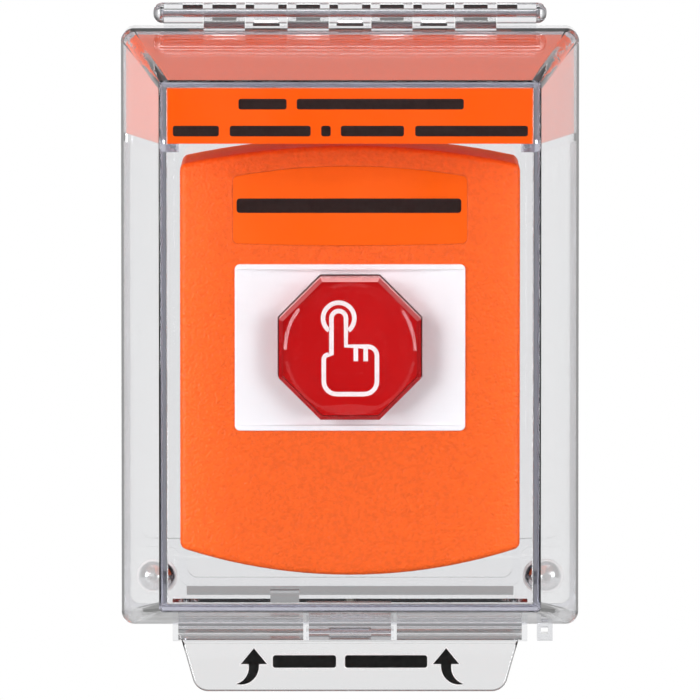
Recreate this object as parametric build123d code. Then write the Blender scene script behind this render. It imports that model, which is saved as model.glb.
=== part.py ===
from build123d import *
import math
import os

# Wall-mounted evacuation call point: an orange push-button station in a clear tray,
# under a clear cover that hinges at the top. Millimetres. +X right and +Z up as the user
# faces it, the wall is the plane Y = 0 and everything on the wall stands towards -Y.
# "Depth" below is the distance out from the wall, so a depth of 10 is Y = -10.

# ---- clear back tray ----
TRAY_WIDTH = 128.0
TRAY_HEIGHT = 167.2
TRAY_DEPTH = 16.0
TRAY_CORNER = 3.6
TRAY_WALL = 2.4
PLATFORM_WIDTH = 118.0
PLATFORM_HEIGHT = 148.0
PLATFORM_DEPTH = 5.0
PLATFORM_WALL = 2.4
SCREW_POCKET = 11.0
WIRING_WINDOW = 64.0
DRIP_GROOVE_Z = -79.0
GASKET_INSET = 1.2
GASKET_WIDTH = 3.0
GASKET_DEPTH = 1.4

# ---- clear hinged cover ----
COVER_START = 16.3
COVER_END = 73.0
COVER_WALL = 2.4
FRONT_WIDTH = 104.8
FRONT_TOP = 71.95
FRONT_BOTTOM = -74.5
FRONT_CORNER = 1.3
LIP_DEPTH = 3.8
LIP_WALL = 1.6
LIP_GAP = 0.35
RIB_TOP = 54.5
RIB_HEIGHT = 2.3
RIB_REACH = 3.5

# ---- orange hood inside the top of the cover ----
HOOD_GAP = 0.45
HOOD_WALL = 1.2
HOOD_BACK = 19.4
HOOD_SLOT = 1.6

# ---- hinge ----
HINGE_Z = 87.9
HINGE_DEPTH = 16.15
KNUCKLE_R = 2.9
KNUCKLE_EDGE = 0.9
PIN_R = 1.2
FIXED_BORE_R = 1.22
MOVING_BORE_R = 1.27
KNUCKLE_GAP = 0.2
KNUCKLE_PITCH = 23.4
KNUCKLE_BACK_EDGE = 0.3
STEEP = 1.19
SHALLOW = 0.78
POCKET_RISE = 0.85
POCKET_HEIGHT = 1.4
ARM_NOTCH_HEIGHT = 1.0
ARM_NOTCHES = (83.1, 84.1)
POCKET_END = 2.4
MOVING_KNUCKLE = 11.5
END_KNUCKLE_OUT = 52.0

# ---- latch, lift tab and seal lugs ----
TONGUE_WIDTH = 24.6
CATCH_WIDTH = 10.7
BRACKET_WIDTH = 99.4
BRACKET_BOTTOM = -88.3
TAB_TOP_WIDTH = 97.9
TAB_BOTTOM_WIDTH = 86.0
TAB_BOTTOM = -101.6
TAB_WALL = 2.2
TAB_START = 20.4
TAB_LEAN = 4.5
TAB_CORNER = 4.5
LUG_X = 54.6
LUG_WIDTH = 4.4

# ---- wall screws ----
WALL_SCREW_X = 53.4
WALL_SCREW_Z = 71.4
WALL_SCREW_HEAD_R = 4.25
WALL_SCREW_HEAD = 2.8
WALL_SCREW_NECK_R = 2.1
WALL_SCREW_SHANK_R = 1.9
WALL_SCREW_REACH = 17.0
WASHER_R = 4.8
WASHER_DEPTH = 0.8

# ---- station ----
STATION_HALF = 47.1
STATION_TOP_SIDE = 47.3
STATION_TOP_MID = 52.4
STATION_BOTTOM_SIDE = -59.3
STATION_BOTTOM_MID = -66.9
STATION_BACK = 5.4
STATION_FACE = 46.0
STATION_WALL = 2.6
STATION_EDGE_R = 1.6
BACKPLATE_FACE = 8.0
BOX_SCREW_Z = 41.65
CABLE_HOLE_R = 9.0
CABLE_HOLE_Z = 21.0
GROOVE_X = 37.2
GROOVE_R = 14.0
GROOVE_CUT = 0.8
DISH_R = 43.0
DISH_CUT = 0.9
STEP_CUT = 0.35
STEP_R = 158.0
DIMPLE_Z = -47.5
DIMPLE_R = 2.2

# ---- label plate in the housing's recess ----
LABEL_HALF = 32.5
LABEL_BOTTOM = 25.4
LABEL_BOTTOM_MID = 24.8
LABEL_TOP_SIDE = 44.0
LABEL_TOP_MID = 46.9
LABEL_CUT = 0.8
LABEL_GAP = 0.06

# ---- white bezel ----
BUTTON_Z = -3.3
BEZEL_WIDTH = 63.9
BEZEL_TOP = 19.7
BEZEL_BOTTOM = -26.6
BEZEL_OVERLAP = 1.2
BEZEL_PROUD = 0.7
BEZEL_BACK = 41.5
BEZEL_BOW_R = 210.0
BEZEL_LIP = 1.5

# ---- push button ----
LENS_FLATS = 39.4
LENS_FACE = 54.0
LENS_BACK = 45.0
LENS_WALL = 0.9
DOME_R = 17.4
DOME_RISE = 1.0
DOME_STEP = 0.44
FLANGE_BACK = 43.4
BODY_BACK = 40.5
STEM_R = 5.0
STEM_TIP = 20.2
BUTTON_TRAVEL = 4.0

# ---- guide cup behind the bezel ----
GUIDE_BACK = 38.8
GUIDE_FACE = 41.3
CUP_R = 25.6
CUP_BORE_R = 23.6
CUP_FLOOR_BACK = 30.0
CUP_FLOOR_FACE = 32.0
BOSS_R = 8.0
BOSS_BACK = 24.0
BEZEL_SCREW_X = 28.2
BEZEL_SCREW_Z = 19.0

# ---- switch ----
SWITCH_WIDTH = 34.0
SWITCH_HEIGHT = 22.0
SWITCH_TOP = 14.6
LID_TOP = 15.8
SWITCH_PLUNGER_R = 3.0
SWITCH_PLUNGER_BACK = 13.6
SWITCH_PLUNGER_TOP = 19.9


def box(x0, x1, d0, d1, z0, z1):
    """Block between two X values, two depths and two Z values."""
    size = Box(abs(x1 - x0), abs(d1 - d0), abs(z1 - z0))
    return Pos((x0 + x1) / 2, -(d0 + d1) / 2, (z0 + z1) / 2) * size


def slab(sketch, d0, d1):
    """Sketch drawn as the user sees it (X, Z), extruded from depth d0 to depth d1."""
    return extrude(Plane.XZ.offset(d0) * sketch, d1 - d0)


def rod(r, d0, d1, x=0.0, z=0.0):
    """Round bar standing out from the wall."""
    return slab(Pos(x, z) * Circle(r), d0, d1)


def cone(r0, r1, d0, d1, x=0.0, z=0.0):
    """Tapered bar from radius r0 at depth d0 to radius r1 at depth d1."""
    low = Plane.XZ.offset(d0) * Pos(x, z) * Circle(r0)
    high = Plane.XZ.offset(d1) * Pos(x, z) * Circle(r1)
    return loft([low, high])


def cross_rod(r, x0, x1, depth, z):
    """Round bar along X."""
    bar = Rot(0, 90, 0) * Cylinder(r, x1 - x0)
    return Pos((x0 + x1) / 2, -depth, z) * bar


def upright_rod(r, z0, z1, x, depth):
    """Round bar along Z."""
    return Pos(x, -depth, (z0 + z1) / 2) * Cylinder(r, z1 - z0)


def octagon(flats):
    """Regular octagon with a flat side at the top."""
    return Rot(0, 0, 22.5) * RegularPolygon(flats / 2, 8, major_radius=False)


def octagon_bar(flats, d0, d1):
    return slab(Pos(0, BUTTON_Z) * octagon(flats), d0, d1)


def hex_bar(flats, d0, d1, x, z):
    return slab(Pos(x, z) * RegularPolygon(flats / 2, 6, major_radius=False), d0, d1)


def arched(half, z_low, z_low_mid, z_high, z_high_mid):
    """Outline with straight sides and bowed top and bottom edges."""
    bottom = ThreePointArc((-half, z_low), (0, z_low_mid), (half, z_low))
    right = Line((half, z_low), (half, z_high))
    top = ThreePointArc((half, z_high), (0, z_high_mid), (-half, z_high))
    left = Line((-half, z_high), (-half, z_low))
    return make_face([bottom, right, top, left])


def softened(sketch, r):
    return fillet(sketch.vertices(), r)


def save(shape, name):
    shape.label = name
    export_step(shape, "parts/" + name + ".step")


def four_corners(x, z):
    return [(sx * x, sz * z) for sx in (-1, 1) for sz in (-1, 1)]


# ---------------------------------------------------------------- tray

def moving_knuckles():
    """X range of each knuckle that belongs to the cover."""
    middles = [(i - 1.5) * KNUCKLE_PITCH for i in range(4)]
    return [(x - MOVING_KNUCKLE / 2, x + MOVING_KNUCKLE / 2) for x in middles]


def fixed_knuckles():
    """X range of each knuckle that belongs to the tray, filling the spaces between."""
    moving = moving_knuckles()
    starts = [-END_KNUCKLE_OUT] + [high + KNUCKLE_GAP for low, high in moving]
    ends = [low - KNUCKLE_GAP for low, high in moving] + [END_KNUCKLE_OUT]
    return list(zip(starts, ends))


def platform_outline(inset):
    """Raised middle of the tray floor, cut away at the corners for the wall screws."""
    outline = Rectangle(PLATFORM_WIDTH - 2 * inset, PLATFORM_HEIGHT - 2 * inset)
    pocket = Rectangle(2 * SCREW_POCKET + 2 * inset, 2 * SCREW_POCKET + 2 * inset)
    for x, z in four_corners(PLATFORM_WIDTH / 2, PLATFORM_HEIGHT / 2):
        outline -= Pos(x, z) * pocket
    return softened(outline, 3.0)


def tray_outline(inset, corner):
    return RectangleRounded(TRAY_WIDTH - 2 * inset, TRAY_HEIGHT - 2 * inset, corner)


def gasket_ring(slack):
    inset = GASKET_INSET
    outer = tray_outline(inset - slack, 4.0)
    inner = tray_outline(inset + GASKET_WIDTH + slack, 2.5)
    return outer - inner


def knuckle(low, high):
    """Square hinge knuckle, rounded at the front."""
    z0, z1 = HINGE_Z - KNUCKLE_R, HINGE_Z + KNUCKLE_R
    block = box(low, high, HINGE_DEPTH - KNUCKLE_R, HINGE_DEPTH + KNUCKLE_R, z0, z1)
    back_to_front = block.edges().filter_by(Axis.X).sort_by(Axis.Y)
    block = fillet(back_to_front[:2], KNUCKLE_EDGE)
    back_edges = block.edges().filter_by(Axis.X).sort_by(Axis.Y)[-2:]
    return fillet(back_edges, KNUCKLE_BACK_EDGE)


def back_notch(low, high, back, bottom, height, slope):
    """Undercut in a back face: flat below, sloping up and back above."""
    profile = Polygon(
        (-back + 0.1, bottom),
        (-back + 0.1, bottom + height),
        (-back, bottom + height),
        (-back - height * slope, bottom),
        align=None,
    )
    reach = extrude(Plane.YZ * profile, (high - low) / 2, both=True)
    return Pos((low + high) / 2, 0, 0) * reach


def pockets(ranges):
    """Core-outs in the back of the knuckles, above the pin."""
    cuts = Part()
    back = HINGE_DEPTH - KNUCKLE_R
    for low, high in ranges:
        cuts += back_notch(low, high, back, HINGE_Z + POCKET_RISE, POCKET_HEIGHT, STEEP)
    return cuts


def lower_pockets(ranges):
    """Shallow core-outs in the back of the knuckles, below the pin."""
    cuts = Part()
    back = HINGE_DEPTH - KNUCKLE_R
    for low, high in ranges:
        cuts += back_notch(low, high, back, HINGE_Z - 2.75, 1.5, SHALLOW)
    return cuts


def tray_hinge():
    arms = Part()
    for low, high in fixed_knuckles():
        arms += box(low, high, HINGE_DEPTH - KNUCKLE_R, TRAY_DEPTH, 82.5, HINGE_Z)
        arms += knuckle(low, high)
    tip = END_KNUCKLE_OUT + KNUCKLE_R
    for start in (-tip, END_KNUCKLE_OUT - 2):
        cap = cross_rod(KNUCKLE_R, start, start + KNUCKLE_R + 2, HINGE_DEPTH, HINGE_Z)
        rims = cap.edges().filter_by(GeomType.CIRCLE).sort_by(Axis.X)
        arms += fillet(rims[0] if start < 0 else rims[-1], KNUCKLE_R - 0.35)
    first, *middle, last = fixed_knuckles()
    cored = [(first[1] - 5.7, first[1] + 1), (last[0] - 1, last[0] + 5.7)]
    for low, high in middle:
        cored += [(low - 0.1, low + POCKET_END), (high - POCKET_END, high + 0.1)]
    arms -= pockets(cored)
    arms -= lower_pockets([(low + POCKET_END, high - POCKET_END) for low, high in middle])
    for low, high in middle:
        arms -= back_notch(low + 2, high - 2, HINGE_DEPTH - KNUCKLE_R, 84.1, 0.9, STEEP)
    reach = END_KNUCKLE_OUT + 0.9
    return arms - cross_rod(FIXED_BORE_R, -reach, reach, HINGE_DEPTH, HINGE_Z)


def tray_catch():
    """Hooked step under the tray that the cover's tongue snaps behind."""
    half = CATCH_WIDTH / 2
    step = box(-half, half, 8.6, 12.6, -84.8, -82.5)
    ramp = box(-half, half, 12.0, 16.0, -84.2, -82.5)
    return step + ramp


def tray_floor_details():
    """Low moulded bars inside the bottom of the tray."""
    wedge = Polygon((-2.0, -75.0), (-2.0, -78.6), (-4.6, -78.6), (-8.0, -75.0), align=None)
    stop = Pos(-18.35, 0, 0) * extrude(Plane.YZ * wedge, 4.05, both=True)
    ledge = box(-12.0, 11.6, 2.0, 7.5, -81.6, -78.6)
    slope = Polygon((-2.0, -73.6), (-2.0, -76.8), (-2.4, -76.8), (-5.0, -74.0), (-5.0, -73.6), align=None)
    apron = extrude(Plane.YZ * slope, 46, both=True)
    return stop + ledge + apron


def back_tray():
    tray = slab(tray_outline(0, TRAY_CORNER), 0, TRAY_DEPTH)
    tray -= slab(tray_outline(TRAY_WALL, TRAY_CORNER - TRAY_WALL), TRAY_WALL, TRAY_DEPTH + 1)
    tray += slab(platform_outline(0), 1.0, PLATFORM_DEPTH)
    tray -= slab(platform_outline(2.2), -1.0, PLATFORM_DEPTH - PLATFORM_WALL)
    tray -= slab(RectangleRounded(WIRING_WINDOW, WIRING_WINDOW, 6), -1, PLATFORM_DEPTH + 1)
    tray -= slab(gasket_ring(0.1), -1, GASKET_DEPTH + 0.1)
    tray += tray_floor_details()
    tray -= back_notch(-50, 50, 0, DRIP_GROOVE_Z, 1.0, STEEP)
    tray += tray_catch()
    tray += tray_hinge()
    tray += seal_lug(TRAY_DEPTH - 3.0, TRAY_DEPTH)
    for x, z in four_corners(WALL_SCREW_X, WALL_SCREW_Z):
        tray -= rod(2.3, -1, TRAY_WALL + 1, x, z)
    for z in (-BOX_SCREW_Z, BOX_SCREW_Z):
        tray -= rod(2.3, -1, PLATFORM_DEPTH + 1, 0, z)
    return tray


def seal_lug(d0, d1):
    """Small slotted ear for a tamper seal."""
    half = LUG_WIDTH / 2
    lug = box(LUG_X - half, LUG_X + half, d0, d1, -88.1, -82.6)
    return lug - box(LUG_X - 1.1, LUG_X + 0.9, d0 - 1, d1 + 1, -86.2, -84.4)


def wall_gasket():
    return slab(gasket_ring(0), 0, GASKET_DEPTH)


def hinge_pin():
    reach = END_KNUCKLE_OUT + 0.6
    pin = cross_rod(PIN_R, -reach, reach, HINGE_DEPTH, HINGE_Z)
    ends = pin.edges().filter_by(GeomType.CIRCLE)
    return chamfer(ends, 0.25)


def wall_screw(x, z):
    seat = TRAY_WALL + WASHER_DEPTH
    ball_r = (WALL_SCREW_HEAD_R**2 + WALL_SCREW_HEAD**2) / (2 * WALL_SCREW_HEAD)
    ball = Pos(x, -(seat + WALL_SCREW_HEAD - ball_r), z) * Sphere(ball_r)
    head = ball & rod(WALL_SCREW_HEAD_R + 1, seat, seat + WALL_SCREW_HEAD + 1, x, z)
    head -= hex_bar(2.2, seat + 1.4, seat + WALL_SCREW_HEAD + 1, x, z)
    neck = rod(WALL_SCREW_NECK_R, 0, seat, x, z)
    shank = rod(WALL_SCREW_SHANK_R, -WALL_SCREW_REACH, 0, x, z)
    tip = cone(0.3, WALL_SCREW_SHANK_R, -WALL_SCREW_REACH - 3, -WALL_SCREW_REACH, x, z)
    return head + neck + shank + tip


def washer(x, z):
    ring = rod(WASHER_R, TRAY_WALL, TRAY_WALL + WASHER_DEPTH, x, z)
    return ring - rod(WALL_SCREW_NECK_R + 0.15, TRAY_WALL - 1, TRAY_WALL + 2, x, z)


# ---------------------------------------------------------------- cover

def cover_block(inset, d0, d1):
    """Solid tapered block of the cover, its sides moved in by inset, from depth d0 to d1."""
    run = COVER_END - COVER_START
    faces = []
    for depth in (d0, d1):
        t = (depth - COVER_START) / run
        width = TRAY_WIDTH + (FRONT_WIDTH - TRAY_WIDTH) * t - 2 * inset
        top = TRAY_HEIGHT / 2 + (FRONT_TOP - TRAY_HEIGHT / 2) * t - inset
        bottom = -TRAY_HEIGHT / 2 + (FRONT_BOTTOM + TRAY_HEIGHT / 2) * t + inset
        corner = max(TRAY_CORNER + (FRONT_CORNER - TRAY_CORNER) * t - inset, 0.6)
        outline = RectangleRounded(width, top - bottom, corner)
        faces.append(Plane.XZ.offset(depth) * Pos(0, (top + bottom) / 2) * outline)
    return loft(faces, ruled=True)


def cover_lip():
    """Thin skirt behind the cover's rim that nests inside the tray's walls."""
    inset = TRAY_WALL + LIP_GAP
    start = COVER_START - LIP_DEPTH
    root_end = COVER_START + 1.5
    skirt = slab(tray_outline(inset, 2.5), start, COVER_START + 0.5)
    root = slab(tray_outline(TRAY_WALL - 0.6, 3.5), COVER_START, root_end)
    inner = slab(tray_outline(inset + LIP_WALL, 1.5), start - 1, root_end + 1)
    notch = box(-45, 45, start - 1, COVER_START, 70, 90)
    return skirt + root - inner - notch


def cover_ribs():
    """Ledges along both side walls that hold the hood up."""
    zone = box(-70, 70, 18.0, 72.0, RIB_TOP - RIB_HEIGHT, RIB_TOP)
    ledge = cover_block(COVER_WALL - 0.4, 17.0, 71.5) & zone
    ledge -= box(-47.0, 47.0, 60.0, 80.0, 40, 70)
    return ledge - cover_block(COVER_WALL + RIB_REACH, 10.0, 80.0)


def cover_hinge():
    arms = Part()
    for low, high in moving_knuckles():
        arms += box(low, high, COVER_START, HINGE_DEPTH + KNUCKLE_R, 82.0, HINGE_Z)
        arms += knuckle(low, high)
    arms -= pockets([(low + POCKET_END, high - POCKET_END) for low, high in moving_knuckles()])
    arms -= lower_pockets([(low - 0.1, high + 0.1) for low, high in moving_knuckles()])
    for low, high in moving_knuckles():
        for bottom in ARM_NOTCHES:
            arms -= back_notch(low, high, COVER_START, bottom, ARM_NOTCH_HEIGHT, STEEP)
    reach = END_KNUCKLE_OUT + 3
    return arms - cross_rod(MOVING_BORE_R, -reach, reach, HINGE_DEPTH, HINGE_Z)


def tab_plate():
    """Finger tab hanging below the cover, leaning away from the wall."""
    outline = Polygon(
        (-TAB_BOTTOM_WIDTH / 2, TAB_BOTTOM),
        (TAB_BOTTOM_WIDTH / 2, TAB_BOTTOM),
        (TAB_TOP_WIDTH / 2, -81.6),
        (-TAB_TOP_WIDTH / 2, -81.6),
        align=None,
    )
    low = outline.vertices().sort_by(Axis.Y)[:2]
    blank = slab(fillet(low, TAB_CORNER), TAB_START - 2, TAB_START + TAB_LEAN + TAB_WALL + 2)
    profile = Polygon(
        (-TAB_START, -81.4),
        (-TAB_START - TAB_WALL, -81.4),
        (-TAB_START - TAB_WALL, -88.5),
        (-TAB_START - TAB_WALL - TAB_LEAN, -103.0),
        (-TAB_START - TAB_LEAN, -103.0),
        (-TAB_START, -88.5),
        align=None,
    )
    sheet = extrude(Plane.YZ * profile, 60, both=True)
    tab = blank & sheet
    face = tab.faces().sort_by(Axis.Y)[0]
    return fillet([edge for edge in face.edges() if edge.center().Z < -89], 0.8)


def bracket_and_tongue():
    """Channel behind the tab, with the latch tongue reaching back under the tray."""
    half = BRACKET_WIDTH / 2
    tongue_half = TONGUE_WIDTH / 2
    wall = box(-half, half, COVER_START, COVER_START + 2.0, BRACKET_BOTTOM, -82.0)
    web = Part()
    for x in (-half + 0.8, -tongue_half, tongue_half, half - 0.8):
        web += box(x - 0.8, x + 0.8, COVER_START, TAB_START + 1.0, BRACKET_BOTTOM + 0.6, -82.0)
    tongue = box(-tongue_half, tongue_half, 7.2, COVER_START + 1, -87.6, -85.6)
    hook = box(-tongue_half, tongue_half, 7.2, 8.2, -87.0, -85.1)
    window = box(-CATCH_WIDTH / 2 - 0.6, CATCH_WIDTH / 2 + 0.6, 11.5, 14.5, -90, -85)
    face = COVER_START + 2.0
    for z in (-84.1, -86.0, -87.9):
        rib = Polygon(
            (-face + 0.2, z), (-face, z), (-face - 1.8, z + 1.8), (-face + 0.2, z + 1.8), align=None
        )
        wall += extrude(Plane.YZ * rib, half - 0.8, both=True)
    return wall + web + (tongue + hook - window)


def cover_shell():
    shell = cover_block(0, COVER_START, COVER_END)
    shell = fillet(front_edges(shell), 0.7)
    inside = cover_block(COVER_WALL, COVER_START - 4, COVER_END - COVER_WALL)
    shell -= fillet(front_edges(inside), 0.5)
    shell += cover_lip()
    shell += cover_ribs()
    shell += cover_hinge()
    shell += tab_plate()
    shell += bracket_and_tongue()
    shell += seal_lug(COVER_START, COVER_START + 3.0)
    return shell


def front_edges(block):
    """Edges round the face furthest from the wall."""
    return block.faces().sort_by(Axis.Y)[0].edges()


def label_hood():
    """Thin orange cap: top, front strip and two side wings, open below and behind."""
    outside = COVER_WALL + HOOD_GAP
    outer = cover_block(outside, HOOD_BACK, COVER_END - outside)
    inner = cover_block(outside + HOOD_WALL, 10.0, COVER_END - outside - HOOD_WALL)
    above = box(-70, 70, 10, 80, RIB_TOP, 90)
    return ((outer - inner) & above) - hood_slots(outside)


def hood_slots(outside):
    """Gaps along the hood's two top corners, where its wings meet its top."""
    run = COVER_END - COVER_START
    slots = Part()
    for side in (-1, 1):
        ends = []
        for depth in (HOOD_BACK - 1, COVER_END - outside - HOOD_WALL - 0.8):
            t = (depth - COVER_START) / run
            x = (TRAY_WIDTH + (FRONT_WIDTH - TRAY_WIDTH) * t) / 2 - outside
            z = TRAY_HEIGHT / 2 + (FRONT_TOP - TRAY_HEIGHT / 2) * t - outside
            square = Rot(0, 0, 45) * Rectangle(HOOD_SLOT, HOOD_SLOT)
            ends.append(Plane.XZ.offset(depth) * Pos(side * x, z) * square)
        slots += loft(ends, ruled=True)
    return slots


# ---------------------------------------------------------------- station

def station_outline(inset, corner):
    half = STATION_HALF - inset
    face = arched(
        half,
        STATION_BOTTOM_SIDE + inset,
        STATION_BOTTOM_MID + inset,
        STATION_TOP_SIDE - inset,
        STATION_TOP_MID - inset,
    )
    return softened(face, corner)


def label_outline(inset):
    half = LABEL_HALF - inset
    face = arched(
        half,
        LABEL_BOTTOM + inset,
        LABEL_BOTTOM_MID + inset,
        LABEL_TOP_SIDE - inset,
        LABEL_TOP_MID - inset,
    )
    return softened(face, 1.5)


def bezel_outline(inset, corner):
    height = BEZEL_TOP - BEZEL_BOTTOM - 2 * inset
    middle = (BEZEL_TOP + BEZEL_BOTTOM) / 2
    return Pos(0, middle) * RectangleRounded(BEZEL_WIDTH - 2 * inset, height, corner)


def face_relief():
    """Everything that is sunk into the housing's front: dish, side grooves, step, dimple."""
    ball_r = (DISH_R**2 + DISH_CUT**2) / (2 * DISH_CUT)
    relief = Pos(0, -(STATION_FACE - DISH_CUT + ball_r), BUTTON_Z) * Sphere(ball_r)
    relief &= box(-60, 60, STATION_FACE - 2, STATION_FACE + 2, -60, 60)
    for x in (-GROOVE_X, GROOVE_X):
        relief += upright_rod(GROOVE_R, -75, 60, x, STATION_FACE - GROOVE_CUT + GROOVE_R)
    below = Pos(0, -70) * Rectangle(120, 60)
    below -= Pos(0, STATION_BOTTOM_MID + 12.0 + STEP_R) * Circle(STEP_R)
    relief += slab(below, STATION_FACE - STEP_CUT, STATION_FACE + 1)
    relief += rod(DIMPLE_R, STATION_FACE - 0.6, STATION_FACE + 1, 0, DIMPLE_Z)
    return relief


def station_housing():
    housing = slab(station_outline(0, 2.2), STATION_BACK, STATION_FACE)
    housing = fillet(front_edges(housing), STATION_EDGE_R)
    inside = STATION_FACE - STATION_WALL
    housing -= slab(station_outline(STATION_WALL, 1.2), STATION_BACK - 1, inside)
    housing -= face_relief()
    housing -= slab(label_outline(0), STATION_FACE - LABEL_CUT, STATION_FACE + 1)
    # thickened frame behind the bezel, where the guide clamps
    housing += slab(bezel_outline(-4.6, 2.0), GUIDE_FACE, inside + 0.5)
    housing -= slab(bezel_outline(BEZEL_OVERLAP, 1.0), GUIDE_FACE - 1, STATION_FACE + 1)
    # pad, counterbore and clearance hole for the screw that comes up from below
    housing += box(-5, 5, BACKPLATE_FACE + 0.4, 20, -65, -61.4)
    housing -= upright_rod(3.1, -70, -65.0, 0, 14)
    housing -= upright_rod(1.6, -70, -60, 0, 14)
    # ledges caught by the backplate's hooks
    for x in (-20, 20):
        housing += box(x - 4, x + 4, 10.0, 12.0, 46.2, 49.4)
    return housing


def housing_screw():
    head = upright_rod(2.8, -67.0, -65.0, 0, 14)
    head -= upright_rod(1.2, -68.0, -66.0, 0, 14)
    return head + upright_rod(1.2, -65.0, -55.0, 0, 14)


def station_label():
    return slab(label_outline(LABEL_GAP), STATION_FACE - LABEL_CUT, STATION_FACE - 0.05)


def station_backplate():
    inset = STATION_WALL + 0.4
    plate = slab(station_outline(inset, 1.0), STATION_BACK, BACKPLATE_FACE)
    for x, z in four_corners(36, 36):
        plate += rod(4.0, PLATFORM_DEPTH, STATION_BACK + 0.5, x, z)
    plate -= rod(CABLE_HOLE_R, 0, 10, 0, CABLE_HOLE_Z)
    for z in (-BOX_SCREW_Z, BOX_SCREW_Z):
        plate -= rod(2.1, 0, 10, 0, z)
    # tab that takes the housing screw
    plate += box(-5, 5, STATION_BACK, 20, -61.1, -56)
    plate -= upright_rod(1.22, -62, -54, 0, 14)
    # hooks over the housing's ledges
    for x in (-20, 20):
        plate += box(x - 3, x + 3, STATION_BACK, 14.4, 43.2, 45.6)
        plate += box(x - 3, x + 3, 12.3, 14.4, 43.2, 48.0)
    return plate


def box_screw(z):
    seat = BACKPLATE_FACE
    head = rod(3.3, seat, seat + 2.2, 0, z)
    head -= box(-2.4, 2.4, seat + 1.3, seat + 3, z - 0.5, z + 0.5)
    head -= box(-0.5, 0.5, seat + 1.3, seat + 3, z - 2.4, z + 2.4)
    neck = rod(1.85, 0, seat, 0, z)
    return head + neck + rod(1.6, -16.0, 0, 0, z)


def button_bezel():
    plate = slab(bezel_outline(BEZEL_OVERLAP + 0.15, 1.0), BEZEL_BACK, STATION_FACE + 0.3)
    flange = slab(bezel_outline(0, 1.5), STATION_FACE, STATION_FACE + BEZEL_PROUD)
    flange = fillet(front_edges(flange), 0.35)
    bezel = plate + flange
    edge = BEZEL_WIDTH / 2
    bow_depth = STATION_FACE + BEZEL_PROUD + math.sqrt(BEZEL_BOW_R**2 - edge**2)
    bow = upright_rod(BEZEL_BOW_R, BEZEL_BOTTOM + BEZEL_LIP, BEZEL_TOP - BEZEL_LIP, 0, bow_depth)
    bow &= box(-edge - 1, edge + 1, 40, 50, -40, 40)
    bezel -= bow
    bezel -= octagon_bar(LENS_FLATS + 0.6, 30, 60)
    for x, z in four_corners(BEZEL_SCREW_X, BEZEL_SCREW_Z):
        bezel -= rod(1.02, BEZEL_BACK - 1, 44.2, x, BUTTON_Z + z)
    return bezel


def bezel_screw(x, z):
    head = rod(2.2, GUIDE_BACK - 1.6, GUIDE_BACK, x, z)
    head -= box(x - 1.5, x + 1.5, GUIDE_BACK - 3, GUIDE_BACK - 0.8, z - 0.4, z + 0.4)
    return head + rod(1.0, GUIDE_BACK, 44.0, x, z)


def plunger_guide():
    flange = slab(bezel_outline(-4.0, 2.0), GUIDE_BACK, GUIDE_FACE)
    cup = rod(CUP_R, CUP_FLOOR_BACK, GUIDE_FACE, 0, BUTTON_Z)
    boss = rod(BOSS_R, BOSS_BACK, CUP_FLOOR_FACE, 0, BUTTON_Z)
    guide = flange + cup + boss
    guide -= rod(CUP_BORE_R, CUP_FLOOR_FACE, GUIDE_FACE + 1, 0, BUTTON_Z)
    guide -= rod(STEM_R + 0.06, BOSS_BACK - 1, CUP_FLOOR_FACE + 1, 0, BUTTON_Z)
    for x, z in four_corners(BEZEL_SCREW_X, BEZEL_SCREW_Z):
        guide -= rod(1.25, GUIDE_BACK - 1, GUIDE_FACE + 1, x, BUTTON_Z + z)
    return guide


# ---------------------------------------------------------------- button

def button_lens():
    lens = octagon_bar(LENS_FLATS, LENS_BACK, LENS_FACE)
    lens = chamfer(front_edges(lens), 1.1)
    lens += cone(DOME_R + 1.0, DOME_R, LENS_FACE - 0.01, LENS_FACE + DOME_STEP, 0, BUTTON_Z)
    ball_r = (DOME_R**2 + DOME_RISE**2) / (2 * DOME_RISE)
    dome = Pos(0, -(LENS_FACE + DOME_STEP + DOME_RISE - ball_r), BUTTON_Z) * Sphere(ball_r)
    dome &= rod(DOME_R + 2, LENS_FACE + DOME_STEP - 0.01, LENS_FACE + 5, 0, BUTTON_Z)
    lens += dome
    return lens - octagon_bar(LENS_FLATS - 2 * LENS_WALL, LENS_BACK - 1, LENS_FACE - 1.8)


def button_insert():
    flats = LENS_FLATS - 2 * LENS_WALL - 0.5
    return octagon_bar(flats, LENS_FACE - 3.1, LENS_FACE - 2.1)


def button_body():
    flats = LENS_FLATS - 2 * LENS_WALL - 0.5
    body = octagon_bar(LENS_FLATS, FLANGE_BACK, LENS_BACK)
    body += octagon_bar(flats, LENS_BACK - 0.5, LENS_FACE - 3.1)
    body += rod(19.0, BODY_BACK, FLANGE_BACK + 0.5, 0, BUTTON_Z)
    ring = rod(17.0, BODY_BACK - 1, LENS_FACE - 5.6, 0, BUTTON_Z)
    ring -= rod(11.0, BODY_BACK - 2, LENS_FACE, 0, BUTTON_Z)
    return body - ring - rod(3.0, BODY_BACK - 1, 46.5, 0, BUTTON_Z)


def plunger_stem():
    stem = rod(STEM_R, 25.0, BODY_BACK, 0, BUTTON_Z)
    stem += rod(3.0, BODY_BACK - 1, 46.4, 0, BUTTON_Z)
    stem += rod(STEM_R, STEM_TIP + 1.6, 22.4, 0, BUTTON_Z)
    stem += rod(STEM_R - 1.2, 22.0, 25.5, 0, BUTTON_Z)
    stem += rod(STEM_R, 23.7, 25.5, 0, BUTTON_Z)
    return stem + rod(2.6, STEM_TIP, 22.0, 0, BUTTON_Z)


def retaining_clip():
    ring = rod(7.0, 22.5, 23.6, 0, BUTTON_Z) - rod(STEM_R - 1.2, 22, 24, 0, BUTTON_Z)
    return ring - box(-2.6, 2.6, 22, 24, BUTTON_Z - 8, BUTTON_Z - 2.5)


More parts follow.
